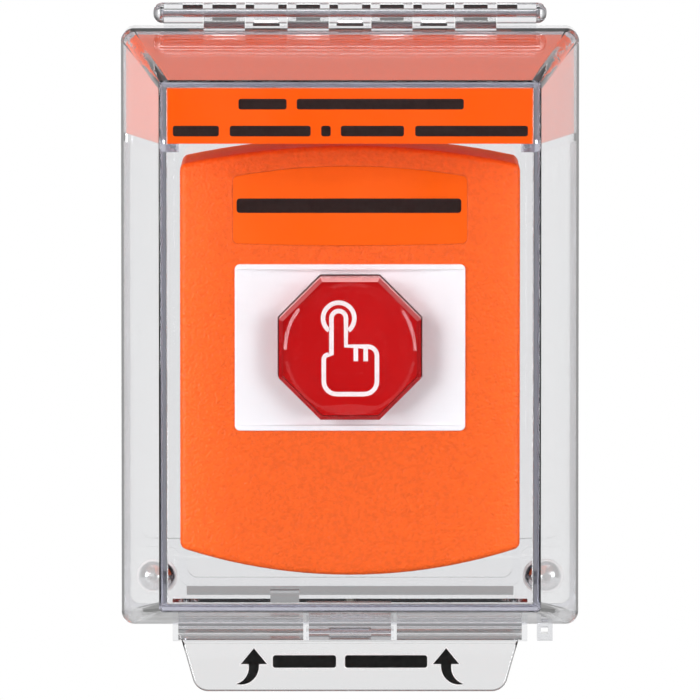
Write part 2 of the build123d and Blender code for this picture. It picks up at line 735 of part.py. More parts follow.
def coil(r, wire, turns, d0, d1):
    """Round-wire compression spring between two depths, coaxial with the button."""
    pitch = (d1 - d0 - 2 * wire) / turns
    path = Helix(pitch=pitch, height=pitch * turns, radius=r)
    start = Plane(origin=path @ 0, z_dir=path % 0)
    wire_solid = sweep(start * Circle(wire), path)
    placed = Pos(0, -(d0 + wire), BUTTON_Z) * Rot(90, 0, 0) * wire_solid
    return placed


# ---------------------------------------------------------------- switch

def switch_body():
    half_w = SWITCH_WIDTH / 2
    half_h = SWITCH_HEIGHT / 2
    z = BUTTON_Z
    body = box(-half_w, half_w, BACKPLATE_FACE, SWITCH_TOP, z - half_h, z + half_h)
    body -= box(-11, 11, 9.2, SWITCH_TOP + 1, z - 4.5, z + 4.5)
    for sx, sz in four_corners(1, 1):
        x = sx * (half_w - 4)
        body -= box(x - 3.4, x + 3.4, 10.6, SWITCH_TOP + 1, z + sz * 6.0, z + sz * 12)
    for side in (-1, 1):
        body += box(side * half_w, side * (half_w + 6), BACKPLATE_FACE, 10.4, z - 3.5, z + 3.5)
        body -= rod(1.35, 0, 12, side * (half_w + 3), z)
    return body


def switch_lid():
    z = BUTTON_Z
    lid = box(-13.5, 13.5, SWITCH_TOP, LID_TOP, z - 5.6, z + 5.6)
    return lid - rod(SWITCH_PLUNGER_R + 0.08, 10, 20, 0, z)


def switch_terminals():
    """Four brass straps, each with a wire clamp land and a fixed contact inside."""
    straps = Part()
    half_w = SWITCH_WIDTH / 2
    for sx, sz in four_corners(1, 1):
        x = sx * (half_w - 4)
        low = BUTTON_Z + sz * 6.2
        high = BUTTON_Z + sz * 10.9
        strap = box(x - 3.1, x + 3.1, 10.6, 11.5, low, high)
        straps += strap - rod(0.95, 9, 13, x, BUTTON_Z + sz * 8.6)
    for side in (-1, 1):
        straps += box(side * 5.4, side * 9.0, 9.2, 9.8, BUTTON_Z - 2.2, BUTTON_Z + 2.2)
    return straps


def terminal_screw(x, z):
    head = rod(1.9, 11.5, 13.0, x, z)
    head -= box(x - 1.4, x + 1.4, 12.3, 14, z - 0.3, z + 0.3)
    return head + rod(0.9, 10.7, 11.6, x, z)


def switch_screw(side):
    x = side * (SWITCH_WIDTH / 2 + 3)
    head = rod(2.4, 10.4, 12.0, x, BUTTON_Z)
    head -= box(x - 1.8, x + 1.8, 11.2, 13, BUTTON_Z - 0.4, BUTTON_Z + 0.4)
    return head + rod(1.2, BACKPLATE_FACE, 10.5, x, BUTTON_Z)


def switch_plunger():
    plunger = rod(SWITCH_PLUNGER_R, SWITCH_PLUNGER_BACK, SWITCH_PLUNGER_TOP, 0, BUTTON_Z)
    plunger -= rod(2.1, SWITCH_PLUNGER_BACK - 1, 18.4, 0, BUTTON_Z)
    plunger -= rod(4, 13.9, 14.4, 0, BUTTON_Z) - rod(2.6, 13, 15, 0, BUTTON_Z)
    return plunger


def contact_bridge():
    """Copper strip carried in the plunger's groove, closing the two fixed contacts."""
    strip = box(-9.2, 9.2, 13.9, 14.4, BUTTON_Z - 2.2, BUTTON_Z + 2.2)
    strip += box(-4, 4, 13.9, 14.4, BUTTON_Z - 4, BUTTON_Z + 4)
    return strip - rod(2.6, 13, 15, 0, BUTTON_Z)


def group(shapes):
    return Compound(children=list(shapes))


os.makedirs("parts", exist_ok=True)

wall_corners = four_corners(WALL_SCREW_X, WALL_SCREW_Z)
bezel_corners = [(x, BUTTON_Z + z) for x, z in four_corners(BEZEL_SCREW_X, BEZEL_SCREW_Z)]
terminal_corners = [
    (sx * (SWITCH_WIDTH / 2 - 4), BUTTON_Z + sz * 8.6) for sx, sz in four_corners(1, 1)
]

save(back_tray(), "back_tray")
save(wall_gasket(), "wall_gasket")
save(hinge_pin(), "hinge_pin")
save(group(wall_screw(x, z) for x, z in wall_corners), "wall_screws")
save(group(washer(x, z) for x, z in wall_corners), "screw_washers")
save(cover_shell(), "cover_shell")
save(label_hood(), "label_hood")
save(station_backplate(), "station_backplate")
save(group(box_screw(z) for z in (-BOX_SCREW_Z, BOX_SCREW_Z)), "box_screws")
save(station_housing(), "station_housing")
save(housing_screw(), "housing_screw")
save(station_label(), "station_label")
save(button_bezel(), "button_bezel")
save(group(bezel_screw(x, z) for x, z in bezel_corners), "bezel_screws")
save(plunger_guide(), "plunger_guide")
save(button_lens(), "button_lens")
save(button_insert(), "button_insert")
save(button_body(), "button_body")
save(plunger_stem(), "plunger_stem")
save(retaining_clip(), "retaining_clip")
save(coil(9.4, 0.55, 2.75, CUP_FLOOR_FACE, BODY_BACK), "return_spring")
save(switch_body(), "switch_body")
save(switch_lid(), "switch_lid")
save(switch_terminals(), "switch_terminals")
save(group(terminal_screw(x, z) for x, z in terminal_corners), "terminal_screws")
save(group(switch_screw(side) for side in (-1, 1)), "switch_screws")
save(switch_plunger(), "switch_plunger")
save(contact_bridge(), "contact_bridge")
save(coil(1.55, 0.22, 5, 9.2, 18.4), "contact_spring")
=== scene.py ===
import bpy
import bmesh
import math
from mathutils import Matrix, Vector


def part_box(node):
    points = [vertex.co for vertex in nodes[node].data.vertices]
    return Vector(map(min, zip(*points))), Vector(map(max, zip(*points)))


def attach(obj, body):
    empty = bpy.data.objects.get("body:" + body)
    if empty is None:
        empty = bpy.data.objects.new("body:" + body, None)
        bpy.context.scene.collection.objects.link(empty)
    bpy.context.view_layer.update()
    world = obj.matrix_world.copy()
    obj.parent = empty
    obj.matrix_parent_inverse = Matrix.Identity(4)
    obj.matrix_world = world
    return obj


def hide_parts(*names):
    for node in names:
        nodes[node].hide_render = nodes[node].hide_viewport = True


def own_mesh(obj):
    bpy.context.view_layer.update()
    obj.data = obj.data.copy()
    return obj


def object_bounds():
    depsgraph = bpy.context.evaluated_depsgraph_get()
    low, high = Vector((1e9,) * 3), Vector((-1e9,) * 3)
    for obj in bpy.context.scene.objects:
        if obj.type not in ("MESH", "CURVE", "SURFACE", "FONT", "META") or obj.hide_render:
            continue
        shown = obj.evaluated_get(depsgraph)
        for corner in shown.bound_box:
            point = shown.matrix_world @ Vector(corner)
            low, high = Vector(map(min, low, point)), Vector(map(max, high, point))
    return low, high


# Evacuation call point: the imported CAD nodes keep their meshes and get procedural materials,
# and the printed marks are thin mesh pieces laid on them. Metres, +X right, -Y towards the
# user, +Z up, wall plane at Y = 0.

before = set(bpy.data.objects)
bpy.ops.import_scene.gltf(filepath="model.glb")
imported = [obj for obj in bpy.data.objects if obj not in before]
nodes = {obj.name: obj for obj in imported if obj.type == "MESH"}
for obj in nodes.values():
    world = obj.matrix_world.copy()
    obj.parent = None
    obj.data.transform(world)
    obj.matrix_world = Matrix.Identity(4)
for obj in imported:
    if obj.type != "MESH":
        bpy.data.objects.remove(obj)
cad_low, cad_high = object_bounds()

MM = 0.001
PRINT = 0.05 * MM  # thickness of the printed marks
SINK = 0.02 * MM  # how far their backs stand off the face that carries them

CLEAR_IOR = 1.585
LENS_IOR = 1.49
CLEAR_DENSITY = 14.0
CLEAR_DEPTH_COLOUR = (0.58, 0.58, 0.70)
# Factor that darkens the clear tint below the tab's fold: painted shade.
PAINTED_TAB_SHADE = 0.88
CLEAR_SHADOW = (0.93, 0.93, 0.94)
LENS_SHADOW = (0.93, 0.90, 0.90)
HOOD_SHADOW = (0.60, 0.38, 0.32)
WORN_ORANGE = (1.0, 0.36, 0.16)

# ---------------------------------------------------------------- node helpers


class Shader:
    """Short names for building one material's node tree."""

    def __init__(self, name):
        self.material = bpy.data.materials.new(name)
        self.material.use_nodes = True
        self.tree = self.material.node_tree
        self.tree.nodes.clear()
        self.out = self.tree.nodes.new("ShaderNodeOutputMaterial")
        where = self.tree.nodes.new("ShaderNodeTexCoord")
        self.place = where.outputs["Object"]
        self.normal = where.outputs["Normal"]

    def add(self, kind, **values):
        node = self.tree.nodes.new(kind)
        for key, value in values.items():
            if hasattr(node, key):
                setattr(node, key, value)
            else:
                node.inputs[key.replace("_", " ")].default_value = value
        return node

    def link(self, source, target):
        self.tree.links.new(source, target)

    def noise(self, scale, detail=3.0, rough=0.55, stretch=None):
        node = self.add("ShaderNodeTexNoise")
        node.inputs["Scale"].default_value = scale
        node.inputs["Detail"].default_value = detail
        node.inputs["Roughness"].default_value = rough
        self.link(self.stretched(stretch), node.inputs["Vector"])
        return node.outputs["Fac"]

    def cells(self, scale, smooth=0.6, stretch=None):
        node = self.add("ShaderNodeTexVoronoi")
        node.feature = "SMOOTH_F1"
        node.inputs["Scale"].default_value = scale
        node.inputs["Smoothness"].default_value = smooth
        self.link(self.stretched(stretch), node.inputs["Vector"])
        return node.outputs["Distance"]

    def stretched(self, stretch):
        if stretch is None:
            return self.place
        node = self.add("ShaderNodeMapping")
        node.inputs["Scale"].default_value = stretch
        self.link(self.place, node.inputs["Vector"])
        return node.outputs["Vector"]

    def spread(self, source, low, high, from_low=0.0, from_high=1.0):
        node = self.add("ShaderNodeMapRange")
        node.inputs["From Min"].default_value = from_low
        node.inputs["From Max"].default_value = from_high
        node.inputs["To Min"].default_value = low
        node.inputs["To Max"].default_value = high
        self.link(source, node.inputs["Value"])
        return node.outputs["Result"]

    def math(self, operation, a, b):
        node = self.add("ShaderNodeMath")
        node.operation = operation
        for socket, value in zip(node.inputs, (a, b)):
            if isinstance(value, (int, float)):
                socket.default_value = value
            else:
                self.link(value, socket)
        return node.outputs[0]

    def mix(self, factor, a, b):
        node = self.add("ShaderNodeMix")
        node.data_type = "RGBA"
        self.link(factor, node.inputs["Factor"])
        node.inputs["A"].default_value = (*a, 1.0)
        node.inputs["B"].default_value = (*b, 1.0)
        return node.outputs["Result"]

    def mix_colours(self, factor, a, b):
        node = self.add("ShaderNodeMix")
        node.data_type = "RGBA"
        self.link(factor, node.inputs["Factor"])
        self.link(a, node.inputs["A"])
        node.inputs["B"].default_value = (*b, 1.0)
        return node.outputs["Result"]

    def edge(self, radius):
        """1 on sharp outside edges, 0 on flats."""
        bevel = self.add("ShaderNodeBevel")
        bevel.samples = 4
        bevel.inputs["Radius"].default_value = radius
        geometry = self.add("ShaderNodeNewGeometry")
        dot = self.add("ShaderNodeVectorMath")
        dot.operation = "DOT_PRODUCT"
        self.link(bevel.outputs["Normal"], dot.inputs[0])
        self.link(geometry.outputs["Normal"], dot.inputs[1])
        return self.spread(dot.outputs["Value"], 1.0, 0.0, 0.86, 0.995)

    def facing(self, axis, low, high):
        """0 to 1 as the surface's own normal turns along an axis from low to high."""
        split = self.add("ShaderNodeSeparateXYZ")
        self.link(self.normal, split.inputs["Vector"])
        return self.spread(split.outputs[axis], 0.0, 1.0, low, high)

    def height_mask(self, low, high):
        """0 to 1 between two heights."""
        split = self.add("ShaderNodeSeparateXYZ")
        self.link(self.place, split.inputs["Vector"])
        return self.spread(split.outputs["Z"], 0.0, 1.0, low, high)

    def bump(self, height, strength, distance, after=None, rounding=None):
        node = self.add("ShaderNodeBump")
        node.inputs["Strength"].default_value = strength
        node.inputs["Distance"].default_value = distance
        self.link(height, node.inputs["Height"])
        if after is not None:
            self.link(after, node.inputs["Normal"])
        elif rounding is not None:
            bevel = self.add("ShaderNodeBevel")
            bevel.samples = 4
            bevel.inputs["Radius"].default_value = rounding
            self.link(bevel.outputs["Normal"], node.inputs["Normal"])
        return node.outputs["Normal"]

    def principled(self, **values):
        node = self.add("ShaderNodeBsdfPrincipled")
        for key, value in values.items():
            node.inputs[key.replace("_", " ")].default_value = value
        self.link(node.outputs["BSDF"], self.out.inputs["Surface"])
        return node


def moulded(name, colour, rough, grain, depth, wear=0.25, tone=0.08, sheen=0.35, rounding=0.25):
    """Opaque moulded plastic: fine grain, uneven gloss, slightly paler worn edges."""
    s = Shader(name)
    patches = s.noise(38.0, 4.0)
    fine = s.noise(grain, 5.0, 0.6)
    dark = tuple(c * (1.0 - tone) for c in colour)
    light = tuple(min(1.0, c * (1.0 + tone) + 0.004) for c in colour)
    base = s.mix(s.spread(patches, 0.0, 1.0, 0.3, 0.7), dark, light)
    pale = tuple(c + (0.85 - c) * 0.35 for c in colour)
    worn = s.math("MULTIPLY", s.edge(rounding * MM), s.spread(fine, 0.0, wear, 0.35, 0.7))
    shader = s.principled(IOR=1.49, Specular_IOR_Level=sheen)
    s.link(s.mix_colours(worn, base, pale), shader.inputs["Base Color"])
    gloss = s.spread(patches, rough - 0.06, rough + 0.07, 0.25, 0.75)
    s.link(s.math("ADD", gloss, s.spread(fine, -0.03, 0.03)), shader.inputs["Roughness"])
    s.link(s.bump(fine, 0.5, depth * MM, rounding=rounding * MM), shader.inputs["Normal"])
    return s.material


def pass_shadow_rays(material, surface, passed):
    """Shows the surface, but lets the lamps' shadow rays through in the passed colour."""
    tree = material.node_tree
    out = next(n for n in tree.nodes if n.type == "OUTPUT_MATERIAL")
    through = tree.nodes.new("ShaderNodeBsdfTransparent")
    through.inputs["Color"].default_value = (*passed, 1.0)
    light = tree.nodes.new("ShaderNodeLightPath")
    mix = tree.nodes.new("ShaderNodeMixShader")
    tree.links.new(light.outputs["Is Shadow Ray"], mix.inputs["Fac"])
    tree.links.new(surface, mix.inputs[1])
    tree.links.new(through.outputs["BSDF"], mix.inputs[2])
    tree.links.new(mix.outputs["Shader"], out.inputs["Surface"])


def glowing(material, passed):
    """Lets some of the lamps' light through a thin coloured sheet."""
    out = next(n for n in material.node_tree.nodes if n.type == "OUTPUT_MATERIAL")
    pass_shadow_rays(material, out.inputs["Surface"].links[0].from_socket, passed)
    return material


def pebbled(name, colour):
    """Coarse leather-like pebble of the station's case."""
    s = Shader(name)
    pebble = s.cells(1250.0, 0.7)
    swirl = s.noise(900.0, 3.0, 0.6)
    patches = s.noise(30.0, 4.0)
    height = s.math("ADD", s.math("MULTIPLY", pebble, -0.9), s.math("MULTIPLY", swirl, 0.9))
    tone = s.spread(swirl, 0.0, 1.0, 0.35, 0.65)
    base = s.mix(tone, tuple(c * 0.90 for c in colour), tuple(min(1.0, c * 1.05) for c in colour))
    worn = s.math("MULTIPLY", s.edge(0.5 * MM), s.spread(swirl, 0.05, 0.40, 0.35, 0.7))
    shader = s.principled(IOR=1.5)
    s.link(s.mix_colours(worn, base, WORN_ORANGE), shader.inputs["Base Color"])
    gloss = s.math("ADD", s.spread(pebble, 0.40, 0.54, 0.1, 0.6), s.spread(patches, -0.04, 0.04))
    s.link(gloss, shader.inputs["Roughness"])
    top = s.facing("Z", 0.80, 0.95)
    s.link(s.spread(top, 0.42, 0.02), shader.inputs["Specular IOR Level"])
    s.link(s.bump(height, 0.85, 0.28 * MM, rounding=0.5 * MM), shader.inputs["Normal"])
    return s.material


def clear(name, tint, ripple, tab=None):
    """Clear polycarbonate with slow moulding ripple; below the tab's fold its tint is darkened as
    painted shade.
    """
    s = Shader(name)
    slow = s.noise(26.0, 2.0, 0.4)
    fine = s.noise(700.0, 2.0, 0.5)
    shader = s.add("ShaderNodeBsdfPrincipled")
    if tab:
        # Painted shade: the tint is darkened below the tab's fold.
        shaded_tint = tuple(c * PAINTED_TAB_SHADE for c in tint)
        s.link(s.mix(s.height_mask(tab + 1.0 * MM, tab), tint, shaded_tint), shader.inputs["Base Color"])
    else:
        shader.inputs["Base Color"].default_value = (*tint, 1.0)
    shader.inputs["Roughness"].default_value = 0.0
    shader.inputs["IOR"].default_value = CLEAR_IOR
    shader.inputs["Transmission Weight"].default_value = 1.0
    first = s.bump(slow, 0.35, ripple * MM)
    s.link(s.bump(fine, 0.25, 0.004 * MM, after=first), shader.inputs["Normal"])
    pass_shadow_rays(s.material, shader.outputs["BSDF"], CLEAR_SHADOW)
    volume = s.add("ShaderNodeVolumeAbsorption")
    volume.inputs["Color"].default_value = (*CLEAR_DEPTH_COLOUR, 1.0)
    volume.inputs["Density"].default_value = CLEAR_DENSITY
    s.link(volume.outputs["Volume"], s.out.inputs["Volume"])
    return s.material


def red_lens(name, colour, painted_top_highlight):
    """Clear front of the button; its sides and bevels are solid glossy red, and a painted highlight
    makes the upward-facing ones pale pink.
    """
    s = Shader(name)
    fine = s.noise(700.0, 2.0, 0.5)
    patches = s.noise(120.0, 3.0)
    normal = s.bump(fine, 0.25, 0.004 * MM)
    front = s.add("ShaderNodeBsdfPrincipled")
    front.inputs["Base Color"].default_value = (0.99, 0.95, 0.95, 1.0)
    front.inputs["Roughness"].default_value = 0.0
    front.inputs["IOR"].default_value = LENS_IOR
    front.inputs["Transmission Weight"].default_value = 1.0
    s.link(normal, front.inputs["Normal"])
    side = s.add("ShaderNodeBsdfPrincipled")
    # Painted highlight: faces turned upwards are mixed towards a pale pink.
    top = s.facing("Z", 0.45, 0.65)
    s.link(s.mix(top, colour, painted_top_highlight), side.inputs["Base Color"])
    s.link(s.spread(patches, 0.18, 0.32, 0.3, 0.7), side.inputs["Roughness"])
    s.link(normal, side.inputs["Normal"])
    split = s.add("ShaderNodeSeparateXYZ")
    s.link(s.normal, split.inputs["Vector"])
    flat = s.spread(s.math("ABSOLUTE", split.outputs["Y"], 0.0), 0.0, 1.0, 0.76, 0.86)
    body = s.add("ShaderNodeMixShader")
    s.link(flat, body.inputs["Fac"])
    s.link(side.outputs["BSDF"], body.inputs[1])
    s.link(front.outputs["BSDF"], body.inputs[2])
    pass_shadow_rays(s.material, body.outputs["Shader"], LENS_SHADOW)
    return s.material


def metal(name, colour, rough, stretch=(1, 1, 1), depth=0.01):
    """Bright metal with drawn or turned scratches and slightly dulled patches."""
    s = Shader(name)
    streak = s.noise(900.0, 4.0, 0.6, stretch=stretch)
    patches = s.noise(120.0, 4.0)
    base = s.mix(s.spread(patches, 0.0, 1.0, 0.3, 0.7), tuple(c * 0.86 for c in colour), colour)
    dirty = s.math("MULTIPLY", s.edge(0.15 * MM), 0.3)
    shader = s.principled(Metallic=1.0)
    s.link(s.mix_colours(dirty, base, tuple(min(1.0, c * 1.2) for c in colour)),
           shader.inputs["Base Color"])
    s.link(s.spread(streak, rough, rough + 0.18, 0.3, 0.7), shader.inputs["Roughness"])
    s.link(s.bump(streak, 0.35, depth * MM, rounding=0.12 * MM), shader.inputs["Normal"])
    return s.material


def ink(name, colour, rough=0.45):
    """Screen-printed ink: faint mottling."""
    s = Shader(name)
    mottle = s.noise(900.0, 3.0)
    light = tuple(min(1.0, c * 1.12 + 0.006) for c in colour)
    shader = s.principled(IOR=1.45, Specular_IOR_Level=0.3)
    s.link(s.mix(s.spread(mottle, 0.0, 1.0, 0.3, 0.7), colour, light), shader.inputs["Base Color"])
    s.link(s.spread(mottle, rough - 0.08, rough + 0.1, 0.3, 0.7), shader.inputs["Roughness"])
    s.link(s.bump(mottle, 0.3, 0.01 * MM), shader.inputs["Normal"])
    return s.material


TAB_FOLD = -88.5 * MM
ORANGE = (0.96, 0.122, 0.004)
shell_clear = clear("clear_cover", (0.965, 0.968, 0.972), 0.10, tab=TAB_FOLD)
tray_clear = clear("clear_tray", (0.955, 0.958, 0.965), 0.10)
finishes = {
    "back_tray": tray_clear,
    "cover_shell": shell_clear,
    # The lens's second colour is a painted highlight on its upward faces.
    "button_lens": red_lens("lens_red", (0.45, 0.004, 0.007), (0.85, 0.42, 0.42)),
    "wall_gasket": moulded("gasket_foam", (0.55, 0.56, 0.58), 0.75, 1800.0, 0.08),
    "hinge_pin": metal("pin_steel", (0.42, 0.42, 0.45), 0.45, (0.05, 1, 1)),
    "wall_screws": metal("domed_steel", (0.80, 0.80, 0.82), 0.06),
    "screw_washers": moulded("nylon_washer", (0.80, 0.80, 0.79), 0.45, 1500.0, 0.02),
    "station_backplate": moulded("grey_moulding", (0.30, 0.31, 0.33), 0.5, 1200.0, 0.05),
    "box_screws": metal("zinc_box", (0.60, 0.58, 0.50), 0.25),
    "housing_screw": metal("zinc_housing", (0.60, 0.58, 0.50), 0.25),
    "bezel_screws": metal("zinc_bezel", (0.60, 0.58, 0.50), 0.25),
    "terminal_screws": metal("zinc_terminal", (0.60, 0.58, 0.50), 0.25),
    "switch_screws": metal("zinc_switch", (0.60, 0.58, 0.50), 0.25),
    "station_housing": pebbled("orange_pebble", ORANGE),
    "station_label": moulded("orange_plate", (0.98, 0.125, 0.001), 0.42, 500.0, 0.01, wear=0.1,
                             tone=0.03, sheen=0.2),
    "label_hood": glowing(moulded("orange_sheet", (0.97, 0.102, 0.001), 0.40, 420.0, 0.008,
                                  wear=0.05, tone=0.02, sheen=0.15), HOOD_SHADOW),
    "button_bezel": moulded("white_moulding", (0.93, 0.95, 0.97), 0.34, 900.0, 0.012, wear=0.2,
                            tone=0.02, sheen=0.5),
    "plunger_guide": moulded("guide_moulding", (0.62, 0.62, 0.62), 0.5, 1200.0, 0.04),
    "button_insert": moulded("red_plate", (0.50, 0.002, 0.003), 0.45, 700.0, 0.01, wear=0.1,
                             tone=0.04, sheen=0.1),
    "button_body": moulded("red_moulding", (0.42, 0.005, 0.007), 0.4, 900.0, 0.02),
    "plunger_stem": moulded("nylon_stem", (0.75, 0.75, 0.73), 0.4, 1500.0, 0.02),
    "retaining_clip": metal("clip_steel", (0.5, 0.5, 0.52), 0.22),
    "return_spring": metal("spring_steel", (0.5, 0.5, 0.52), 0.2, (1, 0.1, 1)),
    "contact_spring": metal("contact_steel", (0.5, 0.5, 0.52), 0.2, (1, 0.1, 1)),
    "switch_body": moulded("black_moulding", (0.03, 0.03, 0.033), 0.45, 1000.0, 0.03),
    "switch_lid": moulded("black_lid", (0.035, 0.035, 0.038), 0.4, 1000.0, 0.03),
    "switch_terminals": metal("brass_strap", (0.78, 0.56, 0.24), 0.22, (0.1, 1, 1)),
    "switch_plunger": moulded("nylon_plunger", (0.70, 0.70, 0.68), 0.4, 1500.0, 0.02),
    "contact_bridge": metal("copper_strap", (0.80, 0.42, 0.28), 0.2, (0.1, 1, 1)),
}
for node_name, finish in finishes.items():
    mesh = nodes[node_name].data
    mesh.materials.clear()
    mesh.materials.append(finish)

# ---------------------------------------------------------------- printed marks

BLACK_INK = ink("black_ink", (0.003, 0.003, 0.003))
DARK_INK = ink("dark_ink", (0.016, 0.006, 0.005))
WHITE_INK = ink("white_ink", (0.86, 0.86, 0.86))


def raise_print(bm, faces):
    """Gives flat faces the thickness of a print, towards the user."""
    grown = bmesh.ops.extrude_face_region(bm, geom=faces)
    moved = [g for g in grown["geom"] if isinstance(g, bmesh.types.BMVert)]
    bmesh.ops.translate(bm, verts=moved, vec=(0.0, -PRINT, 0.0))


def add_piece(name, bm, finish, body):
    """Turns the mesh being built into a piece that rides on a body."""
    mesh = bpy.data.meshes.new(name)
    bm.to_mesh(mesh)
    bm.free()
    piece = bpy.data.objects.new(name, mesh)
    bpy.context.collection.objects.link(piece)
    mesh.materials.append(finish)
    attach(piece, body)
    return piece


def plate(name, outline, depth_y, finish, body, lean=None):
    """Thin flat piece facing the user, cut to a closed outline of (x, z) points."""
    bm = bmesh.new()
    loops = outline if isinstance(outline[0][0], (tuple, list)) else [outline]
    for loop in loops:
        front = [bm.verts.new((x, 0.0, z)) for x, z in loop]
        raise_print(bm, [bm.faces.new(front)])
    bmesh.ops.recalc_face_normals(bm, faces=bm.faces)
    for vert in bm.verts:
        shift = lean(vert.co.z) if lean else 0.0
        vert.co.y += depth_y + shift
    add_piece(name, bm, finish, body)


def rounded_bar(x0, x1, z0, z1, corner, steps=5):
    """Outline of a rectangle with round corners."""
    points = []
    centres = [(x1 - corner, z1 - corner, 0), (x0 + corner, z1 - corner, 90),
               (x0 + corner, z0 + corner, 180), (x1 - corner, z0 + corner, 270)]
    for cx, cz, turn in centres:
        for i in range(steps + 1):
            angle = math.radians(turn + 90 * i / steps)
            points.append((cx + corner * math.cos(angle), cz + corner * math.sin(angle)))
    return points


def word_bars(name, spans, z_mid, height, depth_y, finish, body, lean=None):
    """A line of print reduced to one plain bar for each word."""
    loops = [rounded_bar(a * MM, b * MM, (z_mid - height / 2) * MM, (z_mid + height / 2) * MM,
                         0.22 * height * MM) for a, b in spans]
    plate(name, loops, depth_y, finish, body, lean)


def ribbon(name, points, depth_y, closed=False):
    """White line of even width through (x, z) points, printed on the button."""
    count = len(points)
    pairs = []
    for i, (x, z) in enumerate(points):
        before = points[i - 1] if closed or i > 0 else points[i]
        after = points[(i + 1) % count] if closed or i < count - 1 else points[i]
        run = Vector((after[0] - before[0], after[1] - before[1])).normalized()
        side = Vector((-run.y, run.x)) * LINE / 2
        pairs.append(((x + side.x, z + side.y), (x - side.x, z - side.y)))
    spans = list(zip(pairs, pairs[1:] + pairs[:1] if closed else pairs[1:]))
    bm = bmesh.new()
    corners = {}

    def vert(point):
        key = (round(point[0], 7), round(point[1], 7))
        if key not in corners:
            corners[key] = bm.verts.new((point[0], 0.0, point[1]))
        return corners[key]

    faces = [bm.faces.new([vert(a0), vert(a1), vert(b1), vert(b0)]) for (a0, a1), (b0, b1) in spans]
    raise_print(bm, faces)
    bmesh.ops.recalc_face_normals(bm, faces=bm.faces)
    for v in bm.verts:
        v.co.y += depth_y
    add_piece(name, bm, WHITE_INK, "button")


def arc(cx, cz, r, start, end, steps):
    """Points along part of a circle, angles in degrees."""
    turn = (end - start) / steps
    angles = [math.radians(start + turn * i) for i in range(steps + 1)]
    return [(cx + r * math.cos(t), cz + r * math.sin(t)) for t in angles]


def scaled(points, cx=0.0, cz=0.0, flip=1):
    """Millimetre points moved to a centre and turned into metres."""
    return [((cx + flip * x) * MM, (cz + z) * MM) for x, z in points]


hood_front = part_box("label_hood")[0].y
HOOD_ROWS = [
    ("hood_print_upper", 65.4, [(-30.6, -17.4), (-14.6, 31.2)]),
    ("hood_print_lower", 58.0, [(-48.6, -36.0), (-33.0, -10.8), (-7.9, -5.3), (-2.5, 14.8),
                                (17.9, 48.8)]),
]
for bar_name, z_mid, spans in HOOD_ROWS:
    word_bars(bar_name, spans, z_mid, 2.9, hood_front - SINK, DARK_INK, "cover")

label_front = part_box("station_label")[0].y
word_bars("label_print", [(-31.4, 30.8)], 35.9, 4.0, label_front - SINK, DARK_INK, "base")

# Push symbol: a ring round the tip of a finger, and a closed hand below it.
FINGER_X, FINGER_Z, FINGER_R = -3.1, 8.4, 2.0
HAND = (
    arc(FINGER_X, FINGER_Z, FINGER_R, 180, 0, 10)
    + [(-1.1, 0.8)]
    + arc(4.9, -1.9, 2.5, 90, 0, 6)
    + arc(3.9, -9.0, 3.5, 0, -90, 6)
    + arc(-3.7, -9.0, 3.5, -90, -180, 6)
    + arc(-5.9, -2.9, 1.3, 180, 90, 4)
    + [(-5.1, -1.6)]
)
LINE = 1.25 * MM
button_low, button_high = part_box("button_insert")
print_back = button_low.y - SINK
button_mid = (button_low.z + button_high.z) / 2 / MM
ribbon("push_ring", scaled(arc(FINGER_X, FINGER_Z, 4.3, -52, 232, 28), cz=button_mid), print_back)
ribbon("push_hand", scaled(HAND, cz=button_mid), print_back, closed=True)
for i, x in enumerate((1.6, 4.3)):
    ribbon("push_knuckle_" + str(i + 1), scaled([(x, 0.2), (x, -3.4)], cz=button_mid),
           print_back - 0.01 * MM)

# Marks on the lift tab: two word bars between two arrows that bend up and inwards, haloed.
TAB_FACE = -22.6 * MM
TAB_SLOPE = 4.5 / 14.5


def tab_lean(z):
    """How far the tab's face has come forward at height z."""
    return -max(0.0, TAB_FOLD - z) * TAB_SLOPE


WORDS = [(-21.6, -3.9), (-1.4, 21.6)]
for halo, grow, finish in ((True, 0.35, WHITE_INK), (False, 0.0, BLACK_INK)):
    layer = "halo" if halo else "ink"
    face = TAB_FACE - SINK - (0.0 if halo else PRINT * 0.6)
    word_bars("tab_words_" + layer, [(a - grow, b + grow) for a, b in WORDS], -93.4,
              3.4 + 2 * grow, face, finish, "cover", tab_lean)
    for side, label in ((-1, "left"), (1, "right")):
        head = [(-3.65 - grow * 2, -grow), (3.65 + grow * 2, -grow), (0.0, 4.3 + grow * 1.6)]
        curve = [(1.4 + grow, 0.3)] + arc(-3.58, -0.6, 4.98 + grow, 0, -105, 12)
        curve += arc(-6.04, -0.9, 4.64 - grow, -76, 0, 10) + [(-1.4 - grow, 0.3)]
        middle_x = side * 26.9
        for part, outline in (("head", head), ("tail", curve)):
            placed = scaled(outline, middle_x, -94.1, 1 if side < 0 else -1)
            plate("tab_arrow_" + label + "_" + part + "_" + layer, placed, face, finish,
                  "cover", tab_lean)

# ---------------------------------------------------------------- springs


